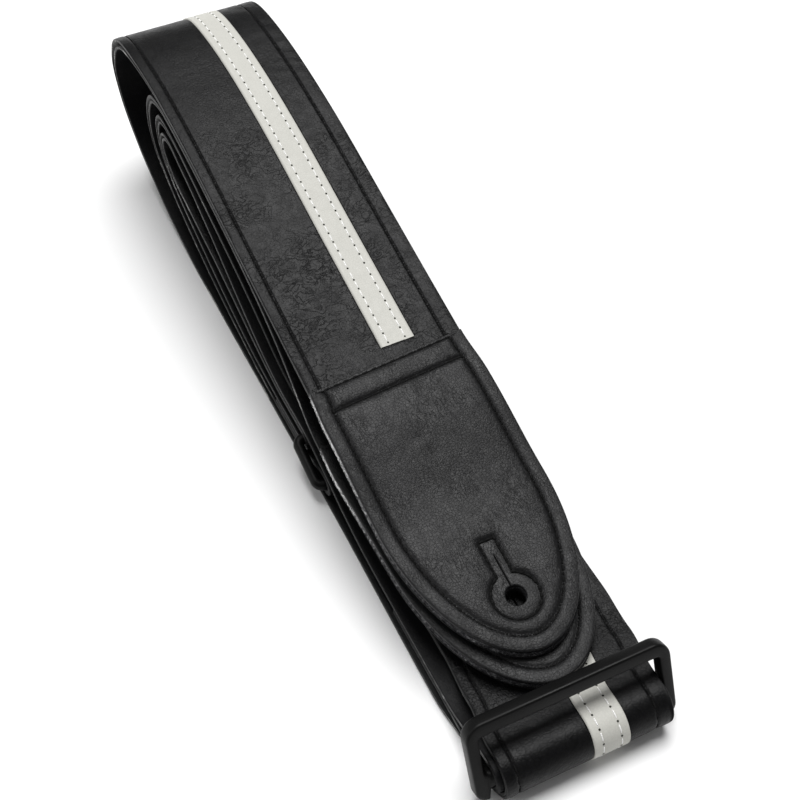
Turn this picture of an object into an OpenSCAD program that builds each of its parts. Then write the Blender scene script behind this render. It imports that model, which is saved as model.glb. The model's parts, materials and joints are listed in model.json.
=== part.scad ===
// Guitar strap, folded flat for storage: a two-ply strap with an offset racing stripe, two end tabs with
// button holes, a sliding adjuster and a joining ring. The folds all run across the strap, so every run is
// an extrusion along X of one folded side view.

/* [Strap] */
// Width of the strap
strap_w = 50.8; // [44:0.2:56]
// Thickness of each of its two plies
ply_t = 1.0; // [0.9:0.05:1.05]
// Distance from the strap's edge to its hem stitching
hem_in = 4.4; // [3:0.2:7]
// How far both hem rows lie off centre
hem_off = -0.7; // [-1:0.1:1]
// Width of the stripe
stripe_w = 11; // [8:0.5:13]
// Distance from the strap's centre line to the near edge of the stripe
stripe_x = 0.6; // [0:0.1:3]
// Distance from the stripe's edge to its own stitching
stripe_in = 2.7; // [2:0.1:3.5]
// Width of a stitched thread
thread_w = 0.7; // [0.5:0.1:1]

/* [Tabs] */
// Width of a tab where it meets the strap
tab_w = 52.4; // [51:0.2:54]
// Radius of the strap button hole
hole_r = 2.9; // [2.5:0.1:3.5]
// Width of the slit that lets a button's head through
slit_w = 0.8; // [0.6:0.1:1.2]
// Length of the slit behind the hole
slit_l = 10; // [6:1:13]
// Distance from the tab's edge to its stitching
tab_in = 4.5; // [3:0.5:6]

/* [Hardware] */
// Radius of the adjuster's round bar
bar_r = 3.0; // [2.6:0.1:3]
// Clear width between the adjuster's arms
adjuster_in = 54.4; // [51.6:0.2:55]
// Overall width of the adjuster
adjuster_w = 61.4; // [60:0.2:64]
// Tilt of the adjuster above the horizontal
adjuster_tilt = 66; // [62:1:70]
// Radius of the ring's bars
ring_bar_r = 1.7; // [1.5:0.1:1.7]
// Overall width of the ring
ring_w = 58.2; // [58:0.2:60]

/* [Hidden] */

vinyl = [0.09, 0.09, 0.1];
cloth = [0.16, 0.16, 0.17];
cream = [0.87, 0.86, 0.82];
plastic = [0.05, 0.05, 0.05];
black_thread = [0.03, 0.03, 0.03];

half_w = strap_w / 2;
groove = 0.3;                    // how deep a thread lies in the ply
inlay = 0.5;                     // how deep the stripe lies in the ply
over = 0.1;                      // how far a cutter stands above the ply
fold_gap = 0.15;                 // between two runs of one strap
play = 0.08;                     // between a bar and the strap round it
level = 2 * ply_t + fold_gap;    // rise from one run to the next
hinge_gap = ply_t + 0.15;        // from a flex line to the fixed strap's end
end_l = 15;                      // how far the strap's end reaches into a tab

// Adjuster: its round bar, and the tilted line from it to the far bar
bar_y = -138;
run_r = bar_r + play + 2 * ply_t + 0.12 + ply_t;   // middle of the outer wrap
loop_r = bar_r + play + ply_t;                      // middle of the sewn loop
bar_z = run_r + ply_t;
adjuster_pitch = 17;             // from the round bar to the far bar
adjuster_t = 4.4;                // thickness and width of the far bar
adjuster_toe = 6;                // how far the arms reach past the middle of the round bar
adjuster_corner = 5;
adjuster_toe_corner = 3.4;
flap_z = bar_z - loop_r;         // middle of the flap behind the loop

// Ring: the bar that carries the long strap, and the bar that carries the short one
ring_wrap_r = ring_bar_r + play + ply_t;
ring_loop_r = ring_wrap_r + 0.55;
low_z = ply_t + level;                              // first run above the floor run
rear_bar = [-16, ply_t + 3 * level + ring_wrap_r];
front_bar = [-32, low_z + ring_wrap_r];

// The whole strap is moved so that the origin is under its middle
rear_y = 149;
shift_y = (run_r - bar_y - rear_y) / 2;

// Side views of the folds, as knots [y, z, heading]. A heading of 0 points to +Y and 90 points up, and
// the strap's face is always on the left of its direction.
upper_axis = [-21.5, 40.3];
lower_axis = [-27, 21];
lift_axis = [96, 61];

top_knots = [[upper_axis[0] + hinge_gap, 40.5, 10.5], [0, 44.4, 11], [40, 52.5, 12], [70, 58.2, 8.5],
    [lift_axis[0], lift_axis[1], 3.5]];

long_knots = [
    // Round the outer fold at the rear and along the floor to the adjuster
    [lift_axis[0] + hinge_gap, 61.06, 3.2], [118, 62.2, -1], [134.5, 59.2, -25], [145.5, 49.3, -62],
    [rear_y, 39, -90], [145.5, 28.5, -120], [133, 17.2, -146], [114, 8.8, -159], [92, 3.3, -170],
    [72, ply_t, -180], [bar_y, ply_t, -180], [bar_y - run_r, bar_z, -270],
    // Over the adjuster's bar and back through the pile to the inner fold at the rear
    [bar_y, bar_z + run_r, -360], [-129, 12.5, -368], [-119, 11.25, -367], [-106, 10.1, -364],
    [-90, 9.5, -360], [-70, 9.7, -359], [-50, 10.9, -354], [-34, 14, -347], [-24, 16.5, -347],
    [-12, 17.9, -358], [0, 18.2, -356], [10, 20.4, -340], [20, 25.1, -335], [40, 34.4, -337],
    [60, 42.9, -337], [80, 50.6, -343], [92, 53, -356], [100.5, 50.8, -405], [104, 44, -442],
    [103, 36, -468], [95, 29, -506], [80, 22.8, -522], [60, 16.6, -524], [40, 11.4, -527],
    // Round the ring's rear bar
    [20, 8.2, -536], [0, ply_t + 3 * level, -540], [rear_bar[0], ply_t + 3 * level, -540],
    [rear_bar[0] - ring_wrap_r, rear_bar[1], -630], [rear_bar[0], rear_bar[1] + ring_wrap_r, -720],
    // Back to the innermost fold
    [0, 12.9, -719], [20, 15.8, -708], [40, 20.8, -707], [60, 25.2, -711], [80, 28.8, -709],
    [93, 33, -689], [99.5, 40.5, -630], [93.5, 46.4, -553], [80, 43.7, -526], [60, 36.8, -519],
    [40, 28.2, -516], [20, 20, -520], [0, 15.4, -537], [rear_bar[0], 15.3, -540],
    // Down over the ring's front loop to the adjuster, and round its bar into the flap
    [-25, 13.8, -526], [-34, 11.6, -527], [-46, 8.3, -528], [-60, 5.9, -535],
    [-76, ply_t + 2 * level, -540], [-112, ply_t + 2 * level, -540], [-126, 8.4, -564],
    [bar_y, bar_z + loop_r, -540], [bar_y - loop_r, bar_z, -450], [bar_y, flap_z, -360],
    [-80, flap_z, -360]];

short_knots = [[lower_axis[0] + hinge_gap, 21.45, 21], [-12, 29.6, 34], [4, 38.9, 24],
    [20, 44.8, 15.5], [40, 49.9, 12], [70, 55.6, 8.5], [92, 58.1, 3], [101, 57.2, -15],
    [108, 53.6, -48], [112.5, 46.5, -70], [114, 38.8, -90], [111.5, 31, -122], [101, 24, -149],
    [85, 17, -162], [65, 11, -166], [40, 6.2, -172], [15, low_z + 0.2, -178], [0, low_z, -180],
    // Round the ring's front bar into the flap
    [front_bar[0], low_z, -180], [front_bar[0] - ring_loop_r, low_z + ring_loop_r, -270],
    [front_bar[0], low_z + 2 * ring_loop_r, -360], [-22.5, 6.7, -386], [-13, low_z + level, -360],
    [6, low_z + level, -360]];

upper_knots = [[-119, 20.2, 9.2], [-86, 25.54, 9.2], [-66, 29.2, 14], [-45, 35.5, 15],
    [upper_axis[0], upper_axis[1], 10.5]];
lower_knots = [[-127, 15.45, 3.4], [-90, 17.65, 3.4], [-60, 19.1, 2], [-42, 19.5, 3],
    [lower_axis[0], lower_axis[1], 12]];

// A tab: [side view, rear edge, tip, where its tip lies across X, where the hole lies along Y]
upper_tab = [upper_knots, upper_axis, -118.3, 1.5, -101.9];
lower_tab = [lower_knots, lower_axis, -126.2, 2.6, -107];

// Cubic from knot a to knot b, at t, with handles that keep round stretches round
function chord(a, b) = norm([b[0] - a[0], b[1] - a[1]]);
function bend(a, b) = abs(b[2] - a[2]);
function handle(a, b) = chord(a, b) * (bend(a, b) < 1 ? 1 / 3
    : 2 / 3 * tan(bend(a, b) / 4) / sin(bend(a, b) / 2));
function place(k) = [k[0], k[1]];
function ahead(k) = [cos(k[2]), sin(k[2])];
function cubic(p, t) = pow(1 - t, 3) * p[0] + 3 * t * pow(1 - t, 2) * p[1] + 3 * t * t * (1 - t) * p[2]
    + pow(t, 3) * p[3];
function slope(p, t) = pow(1 - t, 2) * (p[1] - p[0]) + 2 * t * (1 - t) * (p[2] - p[1])
    + t * t * (p[3] - p[2]);
function left(v) = [-v[1], v[0]] / norm(v);
function steps(a, b) = max(1, ceil(bend(a, b) / 10));
function curve(a, b) = let (h = handle(a, b))
    [place(a), place(a) + h * ahead(a), place(b) - h * ahead(b), place(b)];
function trace(k) = [for (i = [0 : len(k) - 2]) let (p = curve(k[i], k[i + 1]), n = steps(k[i], k[i + 1]))
    for (j = [0 : (i == len(k) - 2 ? n : n - 1)]) [cubic(p, j / n), left(slope(p, j / n))]];

// A layer of the strap between two heights above its middle line, over a width across X
module layer(line, low, high, x0, x1)
    translate([x0, shift_y, 0]) rotate([90, 0, 90]) linear_extrude(x1 - x0)
        polygon([for (s = line) s[0] + high * s[1], for (i = [len(line) - 1 : -1 : 0])
            line[i][0] + low * line[i][1]]);

// A round end of one ply on a flex line
module ply_end(axis, heading, low) intersection() {
    at_axis(axis, 0) rotate([0, 90, 0]) cylinder(r = ply_t, h = strap_w, center = true, $fn = 48);
    at_axis(axis, heading) translate([-half_w, -ply_t / 2, low]) cube([strap_w, 2 * ply_t, ply_t]);
}

module at_axis(axis, heading) translate([0, axis[0] + shift_y, axis[1]]) rotate([heading, 0, 0])
    children();

module hem_lines(line, high = ply_t) for (x = [-1, 1]) {
    mid = x * (half_w - hem_in) + hem_off;
    layer(line, ply_t - groove, high, mid - thread_w / 2, mid + thread_w / 2);
}

module stripe_band(line, high = ply_t)
    layer(line, ply_t - inlay, high, stripe_x, stripe_x + stripe_w);

module stripe_lines(line, high = ply_t)
    for (mid = [stripe_x + stripe_in, stripe_x + stripe_w - stripe_in])
        layer(line, ply_t - groove, high, mid - thread_w / 2, mid + thread_w / 2);

// The face ply of a strap, with beds for its stripe and its hem threads. Its children are joined to it
// before the beds are cut.
module face_ply(line) difference() {
    union() {
        layer(line, 0, ply_t, -half_w, half_w);
        children();
    }
    stripe_band(line, ply_t + over);
    hem_lines(line, ply_t + over);
}

module stripe_ply(line) difference() {
    stripe_band(line);
    stripe_lines(line, ply_t + over);
}

// Rows of thread that close a sewn loop, right through both of its runs
module loop_rows(places, low, high) for (y = places)
    translate([-half_w + hem_in + 1, y + shift_y - thread_w / 2, low])
        cube([strap_w - 2 * hem_in - 2, thread_w, high - low]);

module adjuster_rows() loop_rows([-109, -105, -84], flap_z - ply_t, ply_t + 2 * level + ply_t);
module ring_rows() loop_rows([-11, -8, 3], low_z - ply_t, low_z + level + ply_t);

top_line = trace(top_knots);
long_line = trace(long_knots);
short_line = trace(short_knots);

module top_run_face() color(vinyl) face_ply(top_line) ply_end(lift_axis, 3.5, 0);
module top_run_lining() color(cloth) union() {
    layer(top_line, -ply_t, 0, -half_w, half_w);
    ply_end(lift_axis, 3.5, -ply_t);
}
module top_run_stripe() color(cream) stripe_ply(top_line);
module top_run_hem_stitching() color(black_thread) hem_lines(top_line);
module top_run_stripe_stitching() color(cream) stripe_lines(top_line);

module long_strap_face() color(vinyl) difference() {
    face_ply(long_line);
    adjuster_rows();
}
module long_strap_lining() color(cloth) difference() {
    layer(long_line, -ply_t, 0, -half_w, half_w);
    adjuster_rows();
}
module long_strap_stripe() color(cream) difference() {
    stripe_ply(long_line);
    adjuster_rows();
}
module long_strap_hem_stitching() color(black_thread) hem_lines(long_line);
module long_strap_stripe_stitching() color(cream) difference() {
    stripe_lines(long_line);
    adjuster_rows();
}
module adjuster_loop_stitching() color(black_thread) adjuster_rows();

module short_strap_face() color(vinyl) difference() {
    face_ply(short_line);
    ring_rows();
}
module short_strap_lining() color(cloth) difference() {
    layer(short_line, -ply_t, 0, -half_w, half_w);
    ring_rows();
}
module short_strap_stripe() color(cream) difference() {
    stripe_ply(short_line);
    ring_rows();
}
module short_strap_hem_stitching() color(black_thread) hem_lines(short_line);
module short_strap_stripe_stitching() color(cream) difference() {
    stripe_lines(short_line);
    ring_rows();
}
module ring_loop_stitching() color(black_thread) ring_rows();

// Tabs. Each is a face, a stiffener and a back, with the strap's end sewn between them.
tab_half = tab_w / 2;
tab_round = 48;                  // length of a tab's rounded part
ring_stitch_r = 7;               // stitching round the button hole
slit_stitch = 2.5;               // half the width of the stitching round the slit
slit_stitch_l = 11.5;            // how far that stitching reaches behind the ring
cross_back = [0.9, 8.4];         // rows across the tab, from its rear edge

function tab_rear(tab) = tab[1][0] - 2;
function tab_mid(tab, y) = tab[3] * (tab_rear(tab) - y) / (tab_rear(tab) - tab[2]);
function tab_edge(tab, side, inset) = let (start = tab[2] + tab_round)
    [for (a = [0 : 6 : 84]) let (y = start - (tab_round - inset) * sin(a))
        [tab_mid(tab, y) + side * (tab_half - inset) * cos(a), y]];

// A tab's outline in plan, set in from its edge
module tab_outline(tab, inset = 0, rear = 0) {
    right = tab_edge(tab, 1, inset);
    left_side = tab_edge(tab, -1, inset);
    polygon([[tab_half - inset, tab_rear(tab) + rear], each right, [tab[3], tab[2] + inset],
        for (i = [len(right) - 1 : -1 : 0]) left_side[i], [inset - tab_half, tab_rear(tab) + rear]]);
}

module tab_layer(tab, low, high) intersection() {
    layer(trace(tab[0]), low, high, -2 * half_w, 2 * half_w);
    translate([0, shift_y, 0]) linear_extrude(60) tab_outline(tab);
}

// Where the button hole is: the tab's flat front end, tilted by its first knot's heading
module at_hole(tab) {
    tip = tab[0][0];
    translate([tab_mid(tab, tab[4]), tab[4] + shift_y, tip[1] + (tab[4] - tip[0]) * tan(tip[2])])
        rotate([tip[2], 0, 0]) children();
}

module keyhole(tab) at_hole(tab) {
    cylinder(r = hole_r, h = 12, center = true, $fn = 64);
    translate([-slit_w / 2, 0, -6]) cube([slit_w, hole_r + slit_l, 12]);
}

module edge_rows(tab, high = 2 * ply_t) difference() {
    intersection() {
        layer(trace(tab[0]), 2 * ply_t - groove, high, -half_w, half_w);
        translate([0, shift_y, 0]) linear_extrude(60) tab_outline(tab, tab_in - thread_w / 2);
    }
    translate([0, shift_y, -1]) linear_extrude(62) tab_outline(tab, tab_in + thread_w / 2, 1);
}

module cross_rows(tab, high = 2 * ply_t) {
    inner = tab_half - tab_in - thread_w;
    intersection() {
        layer(trace(tab[0]), 2 * ply_t - groove, high, -inner, inner);
        for (back = cross_back)
            translate([-inner, tab_rear(tab) - back - thread_w / 2 + shift_y, 0])
                cube([2 * inner, thread_w, 60]);
    }
}

// A ring of thread round the hole, left open where two rows run back beside the slit
module keyhole_rows(tab, high = 2 * ply_t) at_hole(tab) translate([0, 0, 2 * ply_t - groove])
    linear_extrude(high - 2 * ply_t + groove) {
        difference() {
            circle(r = ring_stitch_r + thread_w / 2, $fn = 64);
            circle(r = ring_stitch_r - thread_w / 2, $fn = 64);
            translate([-slit_stitch, 0]) square([2 * slit_stitch, ring_stitch_r + 2]);
        }
        for (x = [-slit_stitch - thread_w, slit_stitch])
            translate([x, ring_stitch_r - thread_w]) square([thread_w, slit_stitch_l]);
        translate([-slit_stitch - thread_w, ring_stitch_r + slit_stitch_l - thread_w])
            square([2 * slit_stitch + 2 * thread_w, thread_w]);
    }

module tab_face(tab) difference() {
    tab_layer(tab, ply_t, 2 * ply_t);
    keyhole(tab);
    edge_rows(tab, 2 * ply_t + over);
    cross_rows(tab, 2 * ply_t + over);
    keyhole_rows(tab, 2 * ply_t + over);
}

module tab_stiffener(tab) difference() {
    tab_layer(tab, -ply_t, ply_t);
    keyhole(tab);
    translate([-half_w - 5, tab[1][0] - end_l - 0.2 + shift_y, 0]) cube([strap_w + 10, 40, 60]);
}

module tab_back(tab) difference() {
    tab_layer(tab, -2 * ply_t, -ply_t);
    keyhole(tab);
}

module tab_strap_end(tab) union() {
    intersection() {
        layer(trace(tab[0]), -ply_t, ply_t, -half_w, half_w);
        translate([-half_w, tab[1][0] - end_l + shift_y, 0]) cube([strap_w, end_l + 5, 60]);
    }
    at_axis(tab[1], 0) rotate([0, 90, 0]) cylinder(r = ply_t, h = strap_w, center = true, $fn = 48);
}

module upper_tab_face() color(vinyl) tab_face(upper_tab);
module upper_tab_stiffener() color(cloth) tab_stiffener(upper_tab);
module upper_tab_back() color(vinyl) tab_back(upper_tab);
module upper_tab_strap_end() color(cloth) tab_strap_end(upper_tab);
module upper_tab_edge_stitching() color(black_thread) edge_rows(upper_tab);
module upper_tab_cross_stitching() color(black_thread) cross_rows(upper_tab);
module upper_tab_keyhole_stitching() color(black_thread) keyhole_rows(upper_tab);
module lower_tab_face() color(vinyl) tab_face(lower_tab);
module lower_tab_stiffener() color(cloth) tab_stiffener(lower_tab);
module lower_tab_back() color(vinyl) tab_back(lower_tab);
module lower_tab_strap_end() color(cloth) tab_strap_end(lower_tab);
module lower_tab_edge_stitching() color(black_thread) edge_rows(lower_tab);
module lower_tab_cross_stitching() color(black_thread) cross_rows(lower_tab);
module lower_tab_keyhole_stitching() color(black_thread) keyhole_rows(lower_tab);

// Adjuster: a tilted frame with a round bar at its low end, open between its arms
module adjuster_plan() {
    out = adjuster_w / 2;
    rear = adjuster_pitch + adjuster_t / 2;
    near = adjuster_toe_corner;
    far = adjuster_corner;
    translate([-out + far, -adjuster_toe]) square([adjuster_w - 2 * far, rear + adjuster_toe]);
    translate([-out, near - adjuster_toe]) square([adjuster_w, rear + adjuster_toe - near - far]);
    for (side = [-1, 1]) {
        translate([side * (out - far), rear - far]) circle(r = far, $fn = 48);
        translate([side * (out - near), near - adjuster_toe]) circle(r = near, $fn = 48);
    }
}

module adjuster_frame() color(plastic) at_axis([bar_y, bar_z], adjuster_tilt) union() {
    rotate([0, 90, 0]) cylinder(r = bar_r, h = (adjuster_in + adjuster_w) / 2, center = true, $fn = 64);
    difference() {
        translate([0, 0, -adjuster_t / 2]) linear_extrude(adjuster_t) adjuster_plan();
        translate([-adjuster_in / 2, -20, -10])
            cube([adjuster_in, 20 + adjuster_pitch - adjuster_t / 2, 20]);
    }
}

// Ring: two bars across the straps, joined by thinner arms beside them
module ring_rod(r, length) cylinder(r = r, h = length, center = true, $fn = 48);

module joining_ring() color(plastic) {
    reach = rear_bar - front_bar;
    at_axis((rear_bar + front_bar) / 2, atan2(reach[1], reach[0])) union() for (side = [-1, 1]) {
        translate([0, side * norm(reach) / 2, 0]) rotate([0, 90, 0]) ring_rod(ring_bar_r, ring_w);
        translate([side * (ring_w / 2 - ring_bar_r), 0, 0]) rotate([90, 0, 0])
            ring_rod(ring_bar_r - 0.2, norm(reach));
    }
}

top_run_face();
top_run_lining();
top_run_stripe();
top_run_hem_stitching();
top_run_stripe_stitching();
long_strap_face();
long_strap_lining();
long_strap_stripe();
long_strap_hem_stitching();
long_strap_stripe_stitching();
adjuster_loop_stitching();
short_strap_face();
short_strap_lining();
short_strap_stripe();
short_strap_hem_stitching();
short_strap_stripe_stitching();
ring_loop_stitching();
upper_tab_face();
upper_tab_stiffener();
upper_tab_back();
upper_tab_strap_end();
upper_tab_edge_stitching();
upper_tab_cross_stitching();
upper_tab_keyhole_stitching();
lower_tab_face();
lower_tab_stiffener();
lower_tab_back();
lower_tab_strap_end();
lower_tab_edge_stitching();
lower_tab_cross_stitching();
lower_tab_keyhole_stitching();
adjuster_frame();
joining_ring();
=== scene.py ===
"""A guitar strap folded flat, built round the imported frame. Lengths are millimetres; MM makes metres.

Every run of the strap comes from a side view: knots [y, z, heading], the same as in the part's source. A
heading of 0 points to +Y and 90 points up, and the strap's face is on the left of its direction.
"""
import json
import math
import random
from bisect import bisect_right

import bmesh
import bpy
from mathutils import Euler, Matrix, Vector, noise
from mathutils.geometry import delaunay_2d_cdt


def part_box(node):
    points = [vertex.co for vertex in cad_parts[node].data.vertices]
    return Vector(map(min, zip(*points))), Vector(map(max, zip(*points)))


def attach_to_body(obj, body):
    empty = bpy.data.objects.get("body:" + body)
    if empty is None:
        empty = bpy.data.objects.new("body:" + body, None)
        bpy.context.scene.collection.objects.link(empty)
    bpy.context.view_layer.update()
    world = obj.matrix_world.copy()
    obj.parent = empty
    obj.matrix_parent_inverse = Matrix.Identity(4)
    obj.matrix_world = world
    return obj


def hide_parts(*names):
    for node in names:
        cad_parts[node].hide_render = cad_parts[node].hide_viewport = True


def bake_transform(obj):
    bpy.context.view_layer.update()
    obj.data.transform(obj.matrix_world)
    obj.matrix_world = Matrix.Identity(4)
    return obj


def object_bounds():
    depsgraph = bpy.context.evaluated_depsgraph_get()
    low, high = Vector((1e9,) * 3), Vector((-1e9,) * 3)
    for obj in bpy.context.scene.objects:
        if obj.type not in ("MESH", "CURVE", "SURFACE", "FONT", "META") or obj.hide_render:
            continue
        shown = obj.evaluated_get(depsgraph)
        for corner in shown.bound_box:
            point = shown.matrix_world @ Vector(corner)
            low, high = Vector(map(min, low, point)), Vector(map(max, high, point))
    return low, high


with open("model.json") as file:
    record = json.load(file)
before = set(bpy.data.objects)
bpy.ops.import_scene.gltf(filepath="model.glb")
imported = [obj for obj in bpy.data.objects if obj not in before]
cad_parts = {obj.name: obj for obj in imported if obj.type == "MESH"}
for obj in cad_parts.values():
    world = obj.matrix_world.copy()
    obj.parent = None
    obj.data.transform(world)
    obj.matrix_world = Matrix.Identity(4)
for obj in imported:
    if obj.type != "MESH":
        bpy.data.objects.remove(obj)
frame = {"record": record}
cad_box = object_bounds()
joints = {joint["name"]: joint for joint in frame["record"]["behaviour"]["joints"]}

MM = 0.001


def link(thing):
    bpy.context.scene.collection.objects.link(thing)
    return thing


def joint_place(name):
    """A hinge's place in the side view, in millimetres."""
    return [length / MM for length in joints[name]["pos_m"][1:]]


# ------------------------ camera

CAMERA_AT = Vector((-117.7, -276.25, 353.3)) * MM
CAMERA_AZIMUTH = -26.0
CAMERA_ELEVATION = 50.0
LENS = 63.8


def make_camera():
    camera = link(bpy.data.objects.new("camera", bpy.data.cameras.new("camera")))
    camera.data.lens = LENS
    camera.data.sensor_width = 36
    camera.data.clip_start = 0.01
    camera.data.clip_end = 20
    camera.location = CAMERA_AT
    camera.rotation_euler = (math.radians(90 - CAMERA_ELEVATION), 0, math.radians(CAMERA_AZIMUTH))
    bpy.context.scene.camera = camera


make_camera()

# ------------------------ sizes of the strap, from the frame

STRAP_W = (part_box("top_run_lining")[1][0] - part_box("top_run_lining")[0][0]) / MM
HALF_W = STRAP_W / 2
PLY = 1.0
HEM_IN = 4.4
HEM_OFF = -0.7  # both hem rows lie a little off centre
HEMS = (-HALF_W + HEM_IN + HEM_OFF, HALF_W - HEM_IN + HEM_OFF)
STRIPE = [round(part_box("top_run_stripe")[i][0] / MM, 3) for i in (0, 1)]
STRIPE_IN = 2.7
STRIPE_ROWS = (STRIPE[0] + STRIPE_IN, STRIPE[1] - STRIPE_IN)
HOLE_R = 2.9

LIFT_Y = joint_place("top_run_lift")[0]
BAR_Y, BAR_Z = joint_place("adjuster_rock")
RING_Y, RING_Z = joint_place("ring_rock")

SHIFT_Y = LIFT_Y - 96  # the knots below are drawn before this shift
BAR = BAR_Y - SHIFT_Y
BAR_R = 3.0
RUN_R = BAR_R + 3.2  # middle of the outer wrap round the adjuster's bar
LOOP_R = BAR_R + 1.08  # middle of the sewn loop inside it
LEVEL = 2.15  # rise from one run to the next
RING_R = 1.7
RING_WRAP_R = RING_R + 1.08
RING_LOOP_R = RING_WRAP_R + 0.55
REAR_BAR = (RING_Y - SHIFT_Y, RING_Z)
FRONT_BAR = (-32, 1 + LEVEL + RING_WRAP_R)

LONG_KNOTS = [
    # Inside the upper tab, along the top run and round the outer fold to the adjuster
    [-40, 36.85, 15], [-21.5, 40.3, 10.5], [0, 44.4, 11], [40, 52.5, 12], [70, 58.2, 8.5], [96, 61, 3.5],
    [118, 62.2, -1], [134.5, 59.2, -25], [145.5, 49.3, -62], [149, 39, -90], [145.5, 28.5, -120],
    [133, 17.2, -146], [114, 8.8, -159], [92, 3.3, -170], [72, 1, -180], [BAR, 1, -180],
    [BAR - RUN_R, BAR_Z, -270],
    # Over the adjuster's bar and back through the pile to the inner fold at the rear
    [BAR, BAR_Z + RUN_R, -360], [-129, 12.5, -368], [-119, 11.25, -367], [-106, 10.1, -364],
    [-90, 9.5, -360], [-70, 9.7, -359], [-50, 10.9, -354], [-34, 14, -347], [-24, 16.5, -347],
    [-12, 17.9, -358], [0, 18.2, -356], [10, 20.4, -340], [20, 25.1, -335], [40, 34.4, -337],
    [60, 42.9, -337], [80, 50.6, -343], [92, 53, -356], [100.5, 50.8, -405], [104, 44, -442],
    [103, 36, -468], [95, 29, -506], [80, 22.8, -522], [60, 16.6, -524], [40, 11.4, -527],
    # Round the ring's rear bar
    [20, 8.2, -536], [0, 1 + 3 * LEVEL, -540], [REAR_BAR[0], 1 + 3 * LEVEL, -540],
    [REAR_BAR[0] - RING_WRAP_R, REAR_BAR[1], -630], [REAR_BAR[0], REAR_BAR[1] + RING_WRAP_R, -720],
    # Back to the innermost fold
    [0, 12.9, -719], [20, 15.8, -708], [40, 20.8, -707], [60, 25.2, -711], [80, 28.8, -709],
    [93, 33, -689], [99.5, 40.5, -630], [93.5, 46.4, -553], [80, 43.7, -526], [60, 36.8, -519],
    [40, 28.2, -516], [20, 20, -520], [0, 15.4, -537], [REAR_BAR[0], 15.3, -540],
    # Down over the ring's front loop to the adjuster, and round its bar into the flap
    [-25, 13.8, -526], [-34, 11.6, -527], [-46, 8.3, -528], [-60, 5.9, -535],
    [-76, 1 + 2 * LEVEL, -540], [-112, 1 + 2 * LEVEL, -540], [-126, 8.4, -564],
    [BAR, BAR_Z + LOOP_R, -540], [BAR - LOOP_R, BAR_Z, -450], [BAR, BAR_Z - LOOP_R, -360],
    [-80, BAR_Z - LOOP_R, -360]]

LOW_Z = 1 + LEVEL
SHORT_KNOTS = [
    # Inside the lower tab, up under the top run and round the middle fold
    [-42, 19.5, 3], [-27, 21, 12], [-12, 29.6, 34], [4, 38.9, 24], [20, 44.8, 15.5], [40, 49.9, 12],
    [70, 55.6, 8.5], [92, 58.1, 3], [101, 57.2, -15], [108, 53.6, -48], [112.5, 46.5, -70],
    [114, 38.8, -90], [111.5, 31, -122], [101, 24, -149], [85, 17, -162], [65, 11, -166],
    [40, 6.2, -172], [15, LOW_Z + 0.2, -178], [0, LOW_Z, -180],
    # Round the ring's front bar into the flap
    [FRONT_BAR[0], LOW_Z, -180], [FRONT_BAR[0] - RING_LOOP_R, LOW_Z + RING_LOOP_R, -270],
    [FRONT_BAR[0], LOW_Z + 2 * RING_LOOP_R, -360], [-22.5, 6.7, -386], [-13, LOW_Z + LEVEL, -360],
    [6, LOW_Z + LEVEL, -360]]

UPPER_KNOTS = [[-119, 20.2, 9.2], [-86, 25.54, 9.2], [-66, 29.2, 14], [-45, 35.5, 15],
               [-21.5, 40.3, 10.5]]
LOWER_KNOTS = [[-127, 15.45, 3.4], [-90, 17.65, 3.4], [-60, 19.1, 2], [-42, 19.5, 3], [-27, 21, 12]]


# ------------------------ side views

def heading(degrees):
    a = math.radians(degrees)
    return Vector((math.cos(a), math.sin(a)))


def fine_curve(knots, parts=40):
    """Points of the curve through the knots, close together, in the side view."""
    points = [Vector(knots[0][:2])]
    for a, b in zip(knots, knots[1:]):
        start, end = Vector(a[:2]), Vector(b[:2])
        bend = math.radians(abs(b[2] - a[2]))
        reach = 1 / 3 if bend < 0.02 else 2 / 3 * math.tan(bend / 4) / math.sin(bend / 2)
        reach *= (end - start).length
        first = start + reach * heading(a[2])
        second = end - reach * heading(b[2])
        for i in range(1, parts + 1):
            t = i / parts
            s = 1 - t
            points.append(s ** 3 * start + 3 * s * s * t * first + 3 * s * t * t * second + t ** 3 * end)
    return points


def index_in(values, value):
    """Which step of the rising values holds a value, or the nearest step to it."""
    return min(max(bisect_right(values, value) - 1, 0), len(values) - 2)


class Run:
    """A side view measured along its length."""

    def __init__(self, knots):
        self.points = fine_curve(knots)
        self.drifts = []
        self.along = [0.0]
        for a, b in zip(self.points, self.points[1:]):
            self.along.append(self.along[-1] + (b - a).length)
        self.length = self.along[-1]

    def index(self, s):
        return index_in(self.along, s)

    def at(self, s):
        """(place, direction) in the side view at a distance along the run."""
        i = self.index(s)
        a, b = self.points[i:i + 2]
        t = (s - self.along[i]) / (self.along[i + 1] - self.along[i])
        before = self.points[max(i - 1, 0)]
        after = self.points[min(i + 2, len(self.points) - 1)]
        direction = ((b - before).normalized() * (1 - t) + (after - a).normalized() * t).normalized()
        return a.lerp(b, t), direction

    def drift(self, s):
        """How far the strap has slipped sideways at a distance along the run."""
        for (a, low), (b, high) in zip(self.drifts, self.drifts[1:]):
            if a <= s < b:
                return low + (high - low) * smooth_step((s - a) / (b - a))
        return 0.0

    def when(self, y, start=0.0):
        """The first distance past start at which the run crosses y."""
        i = self.index(start)
        while (self.points[i].x - y) * (self.points[i + 1].x - y) > 0:
            i += 1
        t = (y - self.points[i].x) / (self.points[i + 1].x - self.points[i].x)
        return self.along[i] + t * (self.along[i + 1] - self.along[i])


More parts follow.
